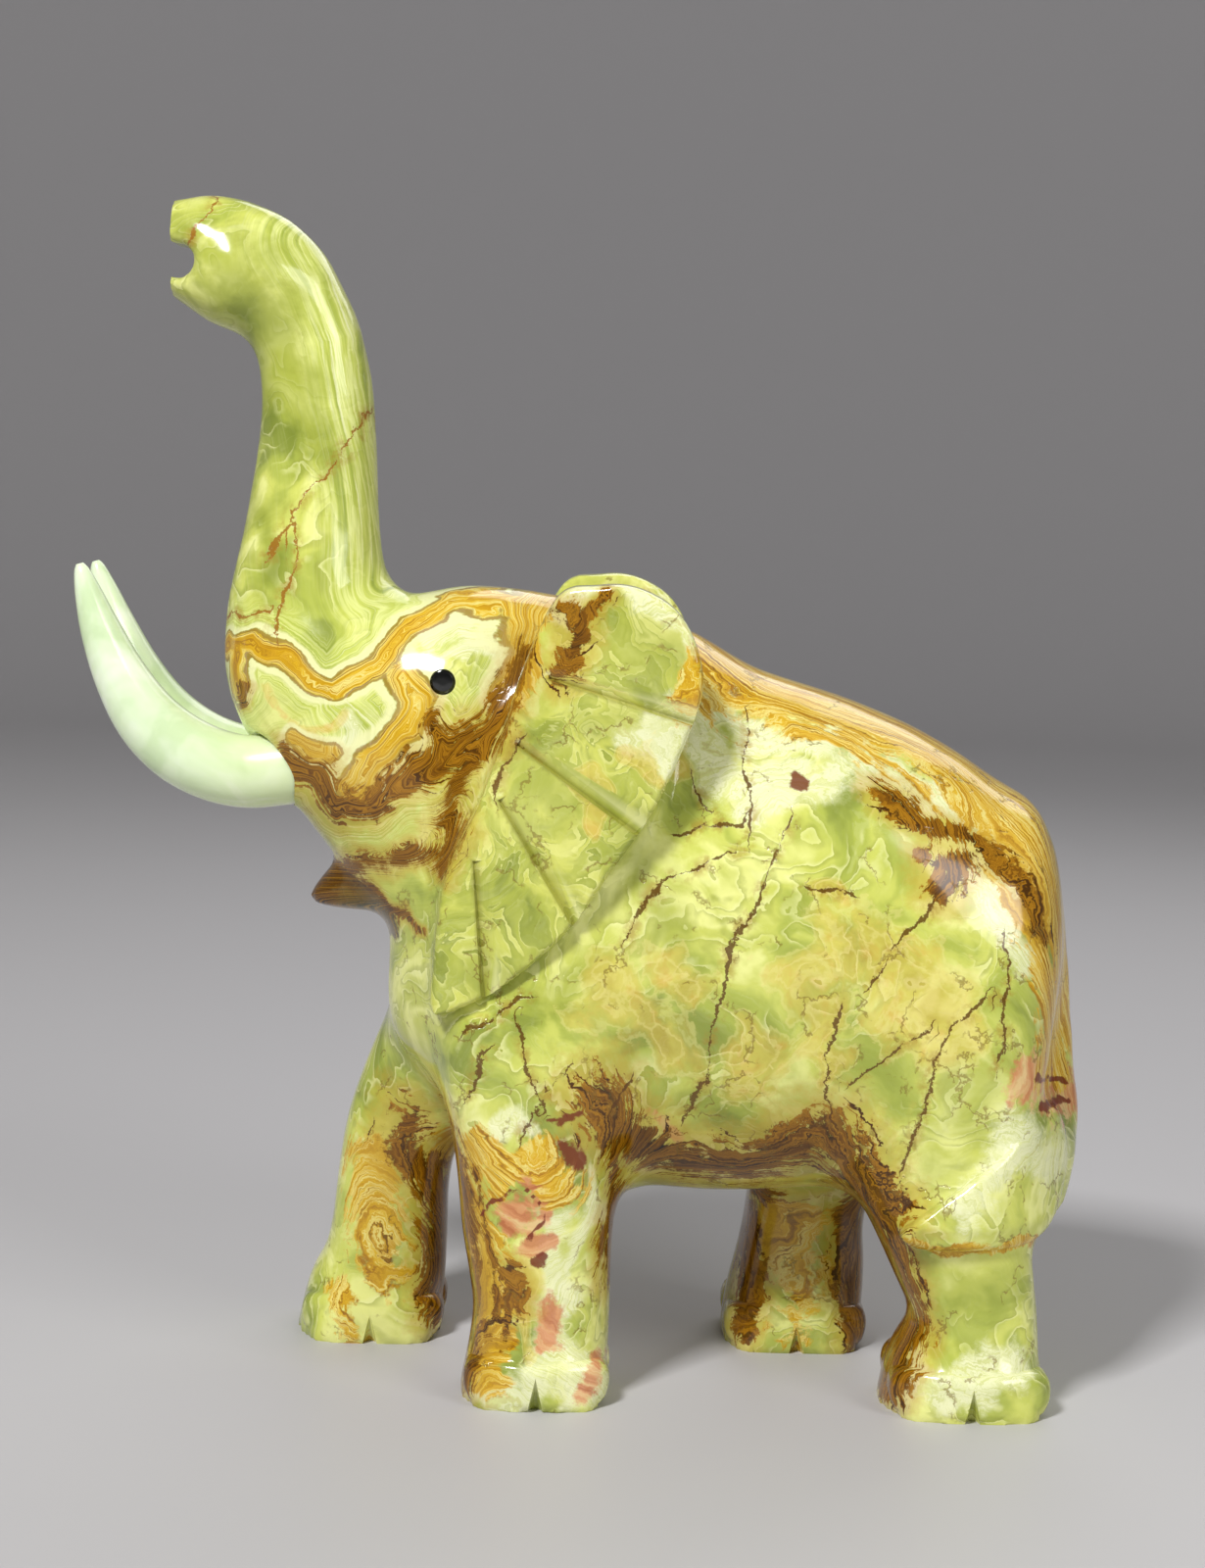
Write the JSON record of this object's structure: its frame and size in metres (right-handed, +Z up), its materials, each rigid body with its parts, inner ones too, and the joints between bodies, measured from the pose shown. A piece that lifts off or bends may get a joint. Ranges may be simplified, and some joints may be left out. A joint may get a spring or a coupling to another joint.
{
  "type": "elephant figurine",
  "caption": "Carved and polished stone elephant figurine standing with its trunk raised, with separate tusks and inlaid eyes.",
  "frame": {"origin": "centre of the bounding box in plan, on the floor that the feet stand on", "axes": "+Z up, the elephant faces -X, its left side faces -Y"},
  "size_m": [0.259, 0.1036, 0.3],
  "materials": {
    "green_onyx": "polished banded green and brown onyx",
    "white_onyx": "polished pale white-green onyx",
    "black_stone": "polished black"
  },
  "bodies": {
    "root": {"elephant_body": "green_onyx", "tusk_left": "white_onyx", "tusk_right": "white_onyx", "eye_left": "black_stone", "eye_right": "black_stone"}
  },
  "joints": []
}
